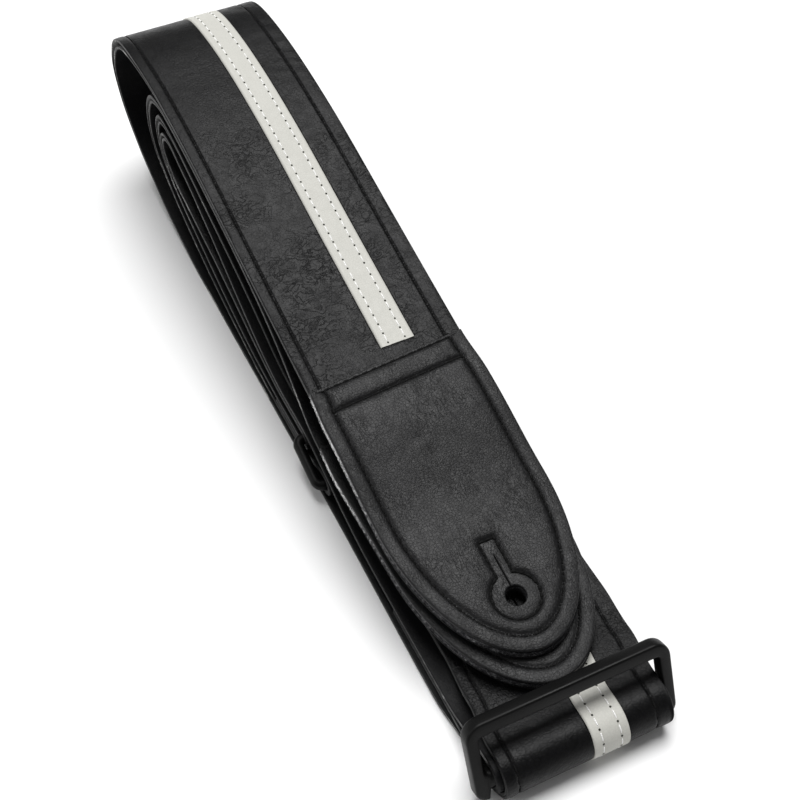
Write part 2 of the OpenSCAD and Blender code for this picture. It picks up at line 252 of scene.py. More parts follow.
def place(run, s, x, height):
    """A point of the strap, in metres, at a height above its middle on the face's side."""
    middle, direction = run.at(s)
    y = middle.x - height * direction.y + SHIFT_Y
    z = middle.y + height * direction.x
    return Vector((x + run.drift(s), y, z)) * MM


# ------------------------ meshes

def new_piece(name, points, faces, material, sharp=()):
    """A smooth-shaded mesh from points in metres. sharp lists faces whose borders stay crisp."""
    mesh = bpy.data.meshes.new(name)
    mesh.from_pydata([tuple(p) for p in points], [], faces)
    mesh.update()
    mesh.shade_smooth()
    crisp = {key for i in sharp for key in mesh.polygons[i].edge_keys}
    for edge in mesh.edges if sharp else ():
        edge.use_edge_sharp = edge.key in crisp
    for i in sharp:
        mesh.polygons[i].use_smooth = False
    mesh.materials.append(material)
    return link(bpy.data.objects.new(name, mesh))


def smooth_step(t):
    t = min(max(t, 0.0), 1.0)
    return t * t * (3 - 2 * t)


def hump(value, middle, half_width):
    """1 at the middle, falling smoothly to 0 at half_width from it."""
    t = abs(value - middle) / half_width
    return 0.0 if t >= 1 else (1 - t * t) ** 2


def bridge(faces, here, there, sides):
    """Adds the faces between two closed rings of points, given where each ring starts."""
    for k in range(sides):
        q = (k + 1) % sides
        faces.append((here + k, here + q, there + q, there + k))


def rounded_section(low_x, high_x, low, high, radius, xs):
    """A closed section [(x, height, is_top)], with its top edges rounded. xs are points across the top."""
    steps = 4
    arc = []
    for i in range(steps + 1):
        a = math.pi / 2 * i / steps
        arc.append((radius * (1 - math.cos(a)), high - radius * (1 - math.sin(a)), i == steps))
    middle = (low + high - radius) / 2
    ring = [(low_x, low, 0), (low_x, middle, 0)] + [(low_x + d, height, top) for d, height, top in arc]
    ring += [(x, high, 1) for x in xs] + [(high_x - d, height, top) for d, height, top in arc[::-1]]
    ring += [(high_x, middle, 0), (high_x, low, 0)]
    return ring + [(low_x + (high_x - low_x) * t / 6, low, 0) for t in range(5, 0, -1)]


def sweep(name, run, stations, section, relief, material, base=None, cut=None):
    """A section swept along a run. relief(x, s) lifts its top, and base(x, s) moves the whole of it. Its
    sides take the material cut, if there is one."""
    points, faces = [], []
    n = len(section)
    for s in stations:
        for x, height, top in section:
            lift = (base(x, s) if base else 0.0) + (relief(x, s) if top else 0.0)
            points.append(place(run, s, x, height + lift))
    last = len(points) - n
    for here in range(0, last, n):
        bridge(faces, here, here + n, n)
    faces += [tuple(range(n)), tuple(range(last + n - 1, last - 1, -1))]
    piece = new_piece(name, points, faces, material, sharp=(len(faces) - 2, len(faces) - 1))
    if cut:
        piece.data.materials.append(cut)
        side = [abs(section[j][0] - section[(j + 1) % n][0]) < 1e-6 for j in range(n)]
        for i, polygon in enumerate(piece.data.polygons):
            if i >= len(faces) - 2 or side[i % n]:
                polygon.material_index = 1
    return piece


def spread(start, end, spacing):
    """Even distances from start to end, no further apart than spacing."""
    return spread_count(start, end, max(1, math.ceil((end - start) / spacing)))


def spread_count(start, end, count):
    return [start + (end - start) * i / count for i in range(count + 1)]


THREAD_SHAPE = [(-1.0, 0.35, -1.0), (-0.86, 0.8, -0.55), (-0.5, 1.0, -0.1), (0.0, 1.05, 0.0),
                (0.5, 1.0, -0.1), (0.86, 0.8, -0.55), (1.0, 0.35, -1.0)]


def tube(points, faces, rings, side, up, sides):
    """Adds a closed tube through rings, each a centre and a radius. All in metres."""
    for centre, radius in rings:
        for k in range(sides):
            a = 2 * math.pi * k / sides
            points.append(centre + (side * math.cos(a) + up * math.sin(a)) * radius)
    start = len(points) - len(rings) * sides
    last = len(points) - sides
    for here in range(start, last, sides):
        bridge(faces, here, here + sides, sides)
    faces += [tuple(range(start + sides - 1, start - 1, -1)), tuple(range(last, last + sides))]


def thread(points, faces, middle, along, up, length, radius):
    """Adds one stitch: a short thread that dips into its needle holes."""
    rings = [(middle + along * (where * length / 2) + up * (drop * radius * 1.2), radius * size)
             for where, size, drop in THREAD_SHAPE]
    tube(points, faces, rings, along.cross(up).normalized(), up, 6)


def hole_shade_dot(points, faces, middle, along, up, radius):
    """Adds the painted shade of one needle hole: a small dark bead sunk in the surface."""
    rings = [(middle, radius), (middle + up * radius * 0.12, radius * 0.7)]
    tube(points, faces, rings, along.cross(up).normalized(), along, 8)


def walk(path, pitch):
    """Even steps along a flat path: [(place, direction)], a pitch apart."""
    path = [Vector(p) for p in path]
    pieces = [(a, b) for a, b in zip(path, path[1:]) if (b - a).length > 1e-6]
    total = sum((b - a).length for a, b in pieces)
    count = max(1, round(total / pitch))
    found, gone = [], 0.0
    for a, b in pieces:
        length = (b - a).length
        while len(found) < count and (len(found) + 0.5) * total / count <= gone + length + 1e-9:
            t = ((len(found) + 0.5) * total / count - gone) / length
            found.append((a.lerp(b, t), (b - a).normalized()))
        gone += length
    return found, total / count


def surface_frame(surface, at, direction, height):
    """(place, direction along the surface, direction out of it), in metres."""
    here = surface(at.x, at.y, height)
    ahead = surface(at.x + direction.x * 0.2, at.y + direction.y * 0.2, height)
    above = surface(at.x, at.y, height + 0.2)
    along = (ahead - here).normalized()
    up = (above - here).normalized()
    return here, along, (up - along * up.dot(along)).normalized()


def stitches(name, paths, surface, height, pitch, length, radius, material, holes=None, hole_radius=0.3):
    """Stitches along flat paths on a surface, and dark dots of painted shade at their needle holes where
    holes is a material.
    """
    points, faces, hole_points, hole_faces = [], [], [], []
    for path in paths:
        found, step = walk(path, pitch)
        for at, direction in found:
            lift = height(at.x, at.y) if callable(height) else height
            here, along, up = surface_frame(surface, at, direction, lift)
            thread(points, faces, here, along, up, length * MM, radius * MM)
            here, along, up = surface_frame(surface, at - direction * step / 2, direction, lift)
            hole_shade_dot(hole_points, hole_faces, here + up * 0.02 * MM, along, up, hole_radius * MM)
    made = [new_piece(name, points, faces, material)]
    if holes:
        made.append(new_piece(name + "_holes", hole_points, hole_faces, holes))
    return made


# ------------------------ materials

class Graph:
    """A node tree, with a method for each kind of node. A method gives the new node's output socket."""

    def __init__(self, tree):
        self.nodes, self.links = tree.nodes, tree.links

    def put(self, socket, value):
        """Gives a socket a value, or links another socket to it."""
        if isinstance(value, bpy.types.NodeSocket):
            self.links.new(value, socket)
        else:
            socket.default_value = value

    def add(self, kind, **values):
        """A new node. Each value goes to the input, or else the property, of its name."""
        node = self.nodes.new(kind)
        for key, value in values.items():
            if key in node.inputs:
                self.put(node.inputs[key], value)
            else:
                setattr(node, key, value)
        return node

    def noise(self, where, scale, detail=4.0, roughness=0.55, distortion=0.0):
        return self.add("ShaderNodeTexNoise", Vector=where, Scale=scale, Detail=detail, Roughness=roughness,
                        Distortion=distortion).outputs["Fac"]

    def mapped(self, scale=(1, 1, 1), turn=0.0):
        where = self.add("ShaderNodeTexCoord").outputs["Object"]
        return self.add("ShaderNodeMapping", Vector=where, Scale=scale,
                        Rotation=(0, 0, turn)).outputs["Vector"]

    def axis(self, where, letter):
        return self.add("ShaderNodeSeparateXYZ", Vector=where).outputs[letter]

    def math(self, operation, *values):
        node = self.add("ShaderNodeMath", operation=operation)
        for socket, value in zip(node.inputs, values):
            self.put(socket, value)
        return node.outputs[0]

    def mix(self, first, share, second):
        """share of the first and the rest of the second."""
        return self.math("MULTIPLY_ADD", first, share, self.math("MULTIPLY", second, 1 - share))

    def ranged(self, value, low, high, start=0.0, end=1.0):
        """low to high, as the value goes from start to end."""
        return self.add("ShaderNodeMapRange", **{"Value": value, "From Min": start, "From Max": end,
                                                 "To Min": low, "To Max": high}).outputs["Result"]

    def colors(self, value, *stops):
        ramp = self.add("ShaderNodeValToRGB", Fac=value)
        ends = ramp.color_ramp.elements
        for end, (where, color) in zip(ends[:], (stops[0], stops[-1])):
            end.position = where
            end.color = (*color, 1)
        for where, color in stops[1:-1]:
            ends.new(where).color = (*color, 1)
        return ramp.outputs["Color"]

    def grain(self, where, cell):
        """Leather grain: flat cells between fine creases. cell is their size in metres."""
        warp = self.add("ShaderNodeTexNoise", Vector=where, Scale=0.8 / cell, Detail=2.0)
        bent = self.add("ShaderNodeVectorMath", operation="MULTIPLY_ADD")
        for socket, value in zip(bent.inputs, (warp.outputs["Color"], (cell * 0.9,) * 3, where)):
            self.put(socket, value)
        cells = self.add("ShaderNodeTexVoronoi", feature="DISTANCE_TO_EDGE", Vector=bent.outputs["Vector"],
                         Scale=1 / cell)
        return self.ranged(cells.outputs["Distance"], 0.0, 1.0, 0.0, 0.16)


class Surface(Graph):
    """A material and its Principled shader."""

    def __init__(self, name, color, roughness, specular):
        self.material = bpy.data.materials.new(name)
        self.material.use_nodes = True
        super().__init__(self.material.node_tree)
        self.sockets = self.nodes["Principled BSDF"].inputs
        self.set("Base Color", (*color, 1))
        self.set("Roughness", roughness)
        self.set("Specular IOR Level", specular)

    def set(self, name, value):
        self.put(self.sockets[name], value)

    def bump(self, height, distance):
        """distance is how deep the relief goes, in metres."""
        self.set("Normal", self.add("ShaderNodeBump", Distance=distance, Strength=1.0,
                                    Height=height).outputs["Normal"])


def vinyl(name, color, low_rough, high_rough, grain_depth, crease_depth, cell=0.0011, specular=0.3,
          shade=0.55, stretch=(0.75, 1.0, 1.0), turn=0.2, taut=()):
    """Grained vinyl: fine cells, creases in patches, and a gloss that varies with both. Its colour carries
    painted shade, darker in the grain creases and along the folds, and a painted highlight, paler on the
    cell tops. Depths are in millimetres. taut lists pairs of places along Y, and the creases fade out
    towards the first of each."""
    made = Surface(name, color, 0.5, specular)
    where = made.mapped()
    cells = made.grain(where, cell)
    fine = made.noise(where, 2600, 3.0)
    broad = made.noise(made.mapped((1.0, 0.6, 1.0), 0.4), 260, 4.0, 0.5, 1.2)
    ridges = made.noise(made.mapped(stretch, turn), 330, 4.0, 0.5, 1.4)
    fold = made.math("ABSOLUTE", made.math("SUBTRACT", ridges, 0.5))
    crinkle = made.ranged(fold, 1.0, 0.0, 0.0, 0.05)
    patch = made.ranged(made.noise(where, 70, 2.0), 0.25, 1.0, 0.38, 0.62)
    for start, end in taut:
        slack = made.ranged(made.axis(where, "Y"), 0.15, 1.0, start, end)
        patch = made.math("MULTIPLY", patch, slack)
    folds = made.math("MULTIPLY", crinkle, patch)
    height = made.math("MULTIPLY", cells, grain_depth)
    for part, depth in ((broad, crease_depth * 2), (folds, -crease_depth), (fine, grain_depth * 0.5)):
        height = made.math("MULTIPLY_ADD", part, depth, height)
    made.bump(height, MM)
    made.set("Roughness", made.ranged(broad, low_rough, high_rough, 0.3, 0.7))
    # Painted shade and highlight: the base colour goes darker in the grain creases and along the folds, and
    # paler on the raised cell tops, following the relief.
    dark = tuple(c * shade for c in color)
    paler = tuple(c * (1.8 - 0.8 * shade) for c in color)
    painted_shading = made.math("MULTIPLY_ADD", folds, -0.15, made.math("MULTIPLY", cells, 0.6))
    made.set("Base Color", made.colors(painted_shading, (0.0, dark), (0.45, color), (0.95, paler)))
    return made.material


def cut_edge(name):
    """The raw cut edge of a ply: dark skins, with thin pale streaks along them that are painted highlights
    where the edge catches the light.
    """
    made = Surface(name, (0.12, 0.12, 0.12), 0.6, 0.4)
    where = made.mapped((1.0, 0.3, 1.0))
    glint_streak = made.noise(where, 900, 4.0, 0.65)
    mixed = made.mix(made.noise(where, 45, 2.0), 0.6, glint_streak)
    # Painted highlight: only the peaks of the streaks turn pale, as glints along the edge.
    made.set("Base Color", made.colors(mixed, (0.50, (0.004, 0.004, 0.004)), (0.56, (0.05, 0.05, 0.05)),
                                       (0.64, (0.55, 0.55, 0.53))))
    made.bump(glint_streak, 0.0002)
    return made.material


def woven(name, color, roughness, depth, sheen=0.0):
    """Matt cloth or thread: fine twisted fibres."""
    made = Surface(name, color, roughness, 0.15)
    made.set("Sheen Weight", sheen)
    made.set("Sheen Roughness", 0.5)
    where = made.mapped()
    wave = made.add("ShaderNodeTexWave", Vector=where, Scale=900, Distortion=1.5, Detail=2.0,
                    bands_direction="DIAGONAL")
    speckle = made.noise(where, 2250, 3.0)
    made.bump(made.math("ADD", wave.outputs["Fac"], speckle), depth)
    lighter = tuple(min(1.0, c * 1.25 + 0.004) for c in color)
    made.set("Base Color", made.colors(speckle, (0.35, color), (0.65, lighter)))
    return made.material


def fibre_board(name):
    """The grey fibre stiffener, whose cut edge is fuzzy and speckled. It is palest at the front and darker
    towards +X."""
    made = Surface(name, (0.12, 0.12, 0.125), 0.9, 0.2)
    where = made.mapped()
    speckle = made.noise(where, 2400, 4.0, 0.7)
    mixed = made.mix(made.noise(where, 700, 3.0, 0.6), 0.5, speckle)
    # The speckle is lifted along Y and lowered towards +X.
    paler = made.ranged(made.axis(where, "Y"), -0.08, 0.15, -0.085, -0.04)
    x_fade = made.ranged(made.axis(where, "X"), 0.0, -0.12, -0.01, 0.02)
    mixed = made.math("ADD", made.math("ADD", mixed, paler), x_fade)
    made.set("Base Color", made.colors(mixed, (0.40, (0.02, 0.02, 0.022)), (0.52, (0.14, 0.14, 0.145)),
                                       (0.64, (0.85, 0.85, 0.85))))
    made.bump(mixed, 0.0006)
    return made.material


def moulded(name, color):
    """Satin moulded plastic with a fine spark-eroded texture."""
    made = Surface(name, color, 0.34, 0.14)
    where = made.mapped()
    smear = made.noise(where, 60, 3.0, 0.5)
    made.bump(made.noise(where, 2200, 3.0, 0.6), 0.00004)
    made.set("Roughness", made.ranged(smear, 0.30, 0.46, 0.3, 0.7))
    made.set("Base Color", made.colors(smear, (0.3, color), (0.7, tuple(c * 1.5 for c in color))))
    return made.material


BLACK_VINYL = vinyl("black_vinyl", (0.0036, 0.0036, 0.0039), 0.32, 0.44, 0.026, 0.062, specular=0.13,
                    taut=((-0.135, -0.118), (0.095, 0.055)))
TAB_VINYL = vinyl("tab_vinyl", (0.008, 0.008, 0.0084), 0.34, 0.45, 0.030, 0.048, 0.0009, 0.19,
                  stretch=(1.5, 0.7, 1.0), turn=-0.35)
BACK_VINYL = vinyl("back_vinyl", (0.005, 0.005, 0.0055), 0.40, 0.55, 0.020, 0.03, 0.0008, 0.12)
CREAM_VINYL = vinyl("cream_vinyl", (0.53, 0.525, 0.485), 0.5, 0.65, 0.012, 0.012, 0.0008, 0.3, 0.94)
BLACK_THREAD = woven("black_thread", (0.003, 0.003, 0.003), 0.8, 0.00008)
WHITE_THREAD = woven("white_thread", (0.90, 0.895, 0.87), 0.7, 0.00008, 0.2)
# Needle holes: dark dots of painted shade where the holes sink in.
NEEDLE_HOLE_SHADE = woven("needle_hole_shade", (0.035, 0.035, 0.03), 0.95, 0.00002)
BLACK_HOLE_SHADE = woven("black_hole_shade", (0.001, 0.001, 0.001), 0.95, 0.00002)
FIBRE = fibre_board("fibre_board")
CUT_EDGE = cut_edge("cut_edge")
PLASTIC = moulded("moulded_plastic", (0.0018, 0.0018, 0.0018))


# ------------------------ strap

HEM_PITCH = 3.3
HEM_DIP = 0.40  # how far the hem rows draw the face in, and over what distance
HEM_SUNK = 0.28
STRIPE_PITCH = 3.6
STRIPE_PROUD = 0.30
STRIPE_DIP = 0.17
CHANNEL = 0.42  # the face lies this much lower under the stripe
EDGE_ROUND = 0.38


def top_places(spacing):
    """Places across the top of the face ply, closer together where it is sewn."""
    low, high = -HALF_W + EDGE_ROUND, HALF_W - EDGE_ROUND
    wanted = set(spread(low, high, spacing))
    for hem in HEMS:
        wanted |= {hem + d for d in (-1.4, -0.85, -0.55, -0.27, 0, 0.27, 0.55, 0.85, 1.4)}
    wanted |= {edge + side * d for edge, side in zip(STRIPE, (1, -1)) for d in (-0.5, -0.06, 0.1)}
    ordered = sorted(wanted)
    return [x for i, x in enumerate(ordered) if low < x < high and (i == 0 or x - ordered[i - 1] > 0.05)]


def wrinkle(x, s, seed):
    """Creases of soft vinyl, in millimetres: a warped ridge pattern, stronger in patches."""
    at = Vector((x * 0.11 + 0.05 * s, s * 0.13 - x * 0.05, seed))
    bend = noise.noise(at * 0.9) * 0.8
    ridge = 1 - abs(noise.noise(at + Vector((bend, -bend, 0))) * 2.2)
    patch = smooth_step(0.5 + 1.6 * noise.noise(Vector((x * 0.03, s * 0.022, seed + 9))))
    small = noise.noise(at * 2.7) * 0.35
    return (ridge * 0.10 + small * 0.10) * (0.35 + patch) - 0.05


def hem_dip(x, s):
    """How far the face is drawn in along its hem stitching."""
    row = min(abs(x - hem) for hem in HEMS)
    pull = 0.85 + 0.15 * math.cos(2 * math.pi * s / HEM_PITCH)
    return -HEM_DIP * math.exp(-(row / HEM_DIP) ** 2) * pull + 0.10 * hump(HALF_W - abs(x), 2.0, 1.8)


def face_relief(strength, stripe_from):
    def relief(x, s):
        if STRIPE[0] < x < STRIPE[1] and s > stripe_from + 0.4:
            return -CHANNEL
        return hem_dip(x, s) + strength * wrinkle(x, s, 3.1)
    return relief


def stripe_relief(proud, strength):
    def relief(x, s):
        row = min(abs(x - r) for r in STRIPE_ROWS)
        dip = -STRIPE_DIP * math.exp(-(row / 0.45) ** 2)
        return proud(s) + dip + strength * 0.5 * wrinkle(x, s, 7.7)
    return relief


def settle(attach, nodes, *rows):
    """Attaches pieces. Each row is a piece, its slot, which is not used, and the ends of the names of nodes
    it replaces, if nodes, the start of their names, isn't None."""
    for piece, slot, *ends in rows:
        attach(piece)
        if ends and nodes is not None:
            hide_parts(*[f"{nodes}_{end}" if nodes else end for end in ends])


def strap_section(prefix, run, start, end, spacing, across, proud, flare, strength, attach, nodes=None,
                  stripe_start=None):
    """One stretch of strap: face, lining, stripe and all its stitching."""
    stations = spread(start, end, spacing)
    stripe_from = start if stripe_start is None else stripe_start
    tops = top_places(across)
    face = sweep(prefix + "_face", run, stations,
                 rounded_section(-HALF_W, HALF_W, 0.04, PLY, EDGE_ROUND, tops),
                 face_relief(strength, stripe_from), BLACK_VINYL, cut=CUT_EDGE)
    lining_xs = spread(-HALF_W + EDGE_ROUND, HALF_W - EDGE_ROUND, max(across, 2.5))
    flipped = [(x, -height, top) for x, height, top in
               rounded_section(-HALF_W, HALF_W, 0.04, PLY, EDGE_ROUND * 0.8, lining_xs)]
    lining = sweep(prefix + "_lining", run, stations, flipped[::-1], lambda x, s: 0.0, BACK_VINYL,
                   base=lambda x, s: -flare(s), cut=CUT_EDGE)
    stripe_xs = spread(STRIPE[0] + 0.2, STRIPE[1] - 0.2, 0.7)[1:-1]
    stripe = sweep(prefix + "_stripe", run, spread(stripe_from, end, spacing),
                   rounded_section(STRIPE[0], STRIPE[1], 0.5, PLY, 0.16, stripe_xs),
                   stripe_relief(proud, strength), CREAM_VINYL,
                   base=lambda x, s: 0.0)
    surface = lambda x, s, height: place(run, s, x, height)
    hems = [[(x, start + 0.4), (x, end - 0.4)] for x in HEMS]
    rows = [[(x, stripe_from + 1.0), (x, end - 0.1)] for x in STRIPE_ROWS]
    hem = stitches(prefix + "_hem_thread", hems, surface, PLY - HEM_SUNK, HEM_PITCH, 2.4, 0.26,
                   BLACK_THREAD, BLACK_HOLE_SHADE, 0.34)
    sewn = stitches(prefix + "_stripe_thread", rows, surface, lambda x, s: PLY + proud(s) - 0.10,
                    STRIPE_PITCH, 2.5, 0.2, WHITE_THREAD, NEEDLE_HOLE_SHADE, 0.34)
    settle(attach, nodes, (face, "vinyl", "face"), (lining, "lining", "lining"),
           (stripe, "stripe", "stripe"), (hem[0], "black_thread", "hem_stitching"), (hem[1], "black_thread"),
           (sewn[0], "white_thread", "stripe_stitching"), (sewn[1], "white_thread"))


def across_joint():
    """Keeps a piece where it is, with its transform baked into its mesh; it rides no body and does not bend.
    """
    return lambda piece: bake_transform(piece)


def riding(body):
    return lambda piece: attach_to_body(piece, body)


long_run = Run(LONG_KNOTS)
short_run = Run(SHORT_KNOTS)
TOP_JOIN = long_run.when(10)
CREST = long_run.when(106)
REAR = long_run.when(148.9)
FLOOR_START = long_run.when(80, REAR)
ROLL_TOP = long_run.when(BAR + 0.1, long_run.when(BAR - 3, REAR) + 12)
ROLL_END = long_run.when(-80, ROLL_TOP)
long_run.drifts = [(CREST - 10, 0.0), (CREST + 25, -0.9), (REAR, -0.9), (long_run.when(-30, REAR), -0.6),
                   (long_run.when(-108, REAR), -1.2), (long_run.when(-132, REAR), 0.6), (ROLL_TOP - 8, 1.5),
                   (ROLL_TOP + 4, 1.6), (ROLL_TOP + 20, 3.6), (ROLL_TOP + 36, 4.6),
                   (long_run.when(-60, ROLL_TOP + 30), 4.4), (long_run.when(0, ROLL_TOP + 30), 2.6),
                   (long_run.when(95, ROLL_TOP + 30), 0.0)]


def long_proud(s):
    """How far the stripe stands above the face: it lies flush only where it is pressed flat."""
    free = 1 - smooth_step((s - (FLOOR_START - 50)) / 40)
    roll_start = FLOOR_START + 80 - BAR
    rolled = smooth_step((s - roll_start) / 6) * (1 - smooth_step((s - ROLL_END) / 10))
    return STRIPE_PROUD * max(free, rolled)


def flare_of(*folds):
    """How far the lining stands off the face, where a fold leaves it slack. Each fold is its middle along
    the run, its half length and its rise."""
    return lambda s: sum(rise * hump(s, middle, half) for middle, half, rise in folds)


INNER_FOLD = long_run.when(103.9, ROLL_END)
LAST_FOLD = long_run.when(99.4, INNER_FOLD + 60)
long_flare = flare_of((REAR - 8, 62, 1.9), (INNER_FOLD, 30, 1.4), (LAST_FOLD, 22, 1.0))
flush = lambda s: 0.0
raised = lambda s: STRIPE_PROUD
strap_section("top_run_end", long_run, long_run.when(-36.5), TOP_JOIN, 0.8, 1.0, raised, flush, 1.0,
              across_joint(), stripe_start=long_run.when(-18.4))
strap_section("top_run", long_run, TOP_JOIN, CREST, 0.8, 1.0, raised, long_flare, 1.0,
              across_joint(), nodes="top_run")
strap_section("long_strap", long_run, CREST, ROLL_END, 0.9, 1.2, long_proud, long_flare, 0.7,
              riding("strap"), nodes="long_strap")
strap_section("long_strap_inner", long_run, ROLL_END, long_run.length, 2.2, 2.6, flush, long_flare, 0.0,
              riding("strap"))
SHORT_JOIN = short_run.when(-8)
strap_section("short_strap_end", short_run, short_run.when(-41.5), SHORT_JOIN, 1.1, 1.6, lambda s: 0.05,
              flush, 0.5, across_joint())
strap_section("short_strap", short_run, SHORT_JOIN, short_run.length, 1.8, 2.2, flush,
              flare_of((short_run.when(113.9), 34, 1.6)), 0.2, riding("strap"), nodes="short_strap")


def seam_rows(name, places, tops, node):
    """Rows across the strap that close a sewn loop, on both outer sides of it."""
    half = HALF_W - HEM_IN - 1
    paths = [[(-half, y), (half, y)] for y in places]
    made = []
    for side, z in zip((1, -1), tops):
        surface = lambda x, y, height: Vector((x, y + SHIFT_Y, z + side * height)) * MM
        face = "upper" if side > 0 else "lower"
        made += stitches(f"{name}_{face}", paths, surface, -0.05, 3.2, 2.4, 0.16, BLACK_THREAD)
    settle(riding("strap"), "", (made[0], "black_thread", node), (made[1], "black_thread"))


FLAP_Z = BAR_Z - LOOP_R
seam_rows("adjuster_loop_seam", (-109, -105, -84), (1 + 2 * LEVEL + PLY, FLAP_Z - PLY),
          "adjuster_loop_stitching")
seam_rows("ring_loop_seam", (-11, -8, 3), (LOW_Z + LEVEL + PLY, LOW_Z - PLY), "ring_loop_stitching")


# ------------------------ tabs

TAB_HALF = 26.2
TAB_ROUND = 48
TAB_IN = 4.5
RING_STITCH = 7.0
SLIT_STITCH = 2.5
SLIT_STITCH_L = 10.8
SLIT_L = 10
SLIT_HALF = 0.03  # a closed slit shows as a hairline
CROSS_BACK = (0.9, 8.4)
TAB_PITCH = 3.2
CORE = 1.0  # half the stiffener's thickness
THREAD_SUNK = 0.34
GROOVE_DEPTH, GROOVE_HALF = 0.55, 0.42
TAB_SKEW = 0.06  # its rows across lean, as a slope
TAB_FLARE = 14  # the tab widens over this length from the strap's width to its own
RIM_ONLY = 2  # an inset below this is part of the rounded rim, at the rear too
ARC_STEPS = 40


class Tab:
    """A tab's outline in plan and its side view."""

    def __init__(self, knots, tip, lean, hole_y):
        self.points = fine_curve(knots)
        self.ys = [p.x for p in self.points]
        self.rear = knots[-1][0] - 2
        self.tip = tip
        self.lean = lean
        self.hole = Vector((self.middle(hole_y), hole_y))

    def middle(self, y):
        return self.lean * (self.rear - y) / (self.rear - self.tip)

    def row_y(self, x, back):
        """Where a row across the tab lies, a distance in from its slightly skewed rear edge."""
        return self.rear - back + TAB_SKEW * x

    def outline(self, inset, spacing=1.2):
        """The outline set in from its edge, anticlockwise from the rear right corner."""
        start = self.tip + TAB_ROUND
        half = TAB_HALF - inset
        deep = TAB_ROUND - inset

        def side(sign):
            rear = self.row_y(sign * half, inset if inset < RIM_ONLY else 0.0)
            found = []
            for y in spread(-rear, -start, spacing):
                flare = smooth_step((self.rear + y) / TAB_FLARE)
                width = half - (TAB_HALF - HALF_W) * (1 - flare)
                found.append(Vector((sign * width + self.middle(-y), -y)))
            return found

        turn = []
        count = 2 * math.ceil(deep * 1.25 / spacing)
        for i in range(1, count):
            a = math.pi * i / count
            y = start - deep * math.sin(a)
            turn.append(Vector((self.middle(y) + half * math.cos(a), y)))
        return side(1) + turn + side(-1)[::-1]

    def surface(self, x, y, height):
        """A point of the tab, in metres, at a height above its middle."""
        low = index_in(self.ys, y)
        a, b = self.points[low:low + 2]
        t = (y - a.x) / (b.x - a.x)
        slope = math.hypot(b.x - a.x, b.y - a.y) / (b.x - a.x)
        return Vector((x, y + SHIFT_Y, a.y + (b.y - a.y) * t + height * slope)) * MM


def open_circle(tab, r, w):
    """A circle round the hole, anticlockwise, and the angle that half its opening takes, w to each side."""
    opening = math.asin(w / r)
    angles = spread_count(math.pi / 2 + opening, 5 * math.pi / 2 - opening, ARC_STEPS)
    return [tab.hole + r * Vector((math.cos(a), math.sin(a))) for a in angles], opening


def keyhole(tab, grow):
    """The button hole and its slit as one loop, grown by a distance."""
    r = HOLE_R + grow
    w = SLIT_HALF + grow
    loop, opening = open_circle(tab, r, w)
    ys = spread(r * math.cos(opening), HOLE_R + SLIT_L + grow, 1.2)[1:]
    return loop + [tab.hole + Vector((w, y)) for y in ys] + [tab.hole + Vector((-w, y)) for y in ys[::-1]]


def keyhole_rows(tab, grow=0.0):
    """Where the stitching round the hole and beside the slit runs, as one closed loop."""
    w = SLIT_STITCH + grow
    loop = open_circle(tab, RING_STITCH + grow, w)[0]
    end = RING_STITCH + SLIT_STITCH_L + grow
    return loop + [tab.hole + Vector((w, end)), tab.hole + Vector((-w, end)), loop[0]]


def distance_to(loop, p, closed=True):
    best = 1e9
    pairs = list(zip(loop, loop[1:])) + ([(loop[-1], loop[0])] if closed else [])
    for a, b in pairs:
        d = b - a
        t = min(max((p - a).dot(d) / max(d.dot(d), 1e-12), 0), 1)
        best = min(best, (a + d * t - p).length)
    return best


def inside(loop, p):
    odd = False
    for a, b in zip(loop, loop[1:] + loop[:1]):
        if (a.y > p.y) != (b.y > p.y) and p.x < (b.x - a.x) * (p.y - a.y) / (b.y - a.y) + a.x:
            odd = not odd
    return odd


RIM_STEPS = (0.0, 0.05, 0.15, 0.3, 0.45)
RIM = 0.45


def rim_drop(d):
    """How far a rounded edge falls below the top, at a distance in from it."""
    return 0.0 if d >= RIM else RIM - math.sqrt(max(RIM ** 2 - (RIM - d) ** 2, 0))


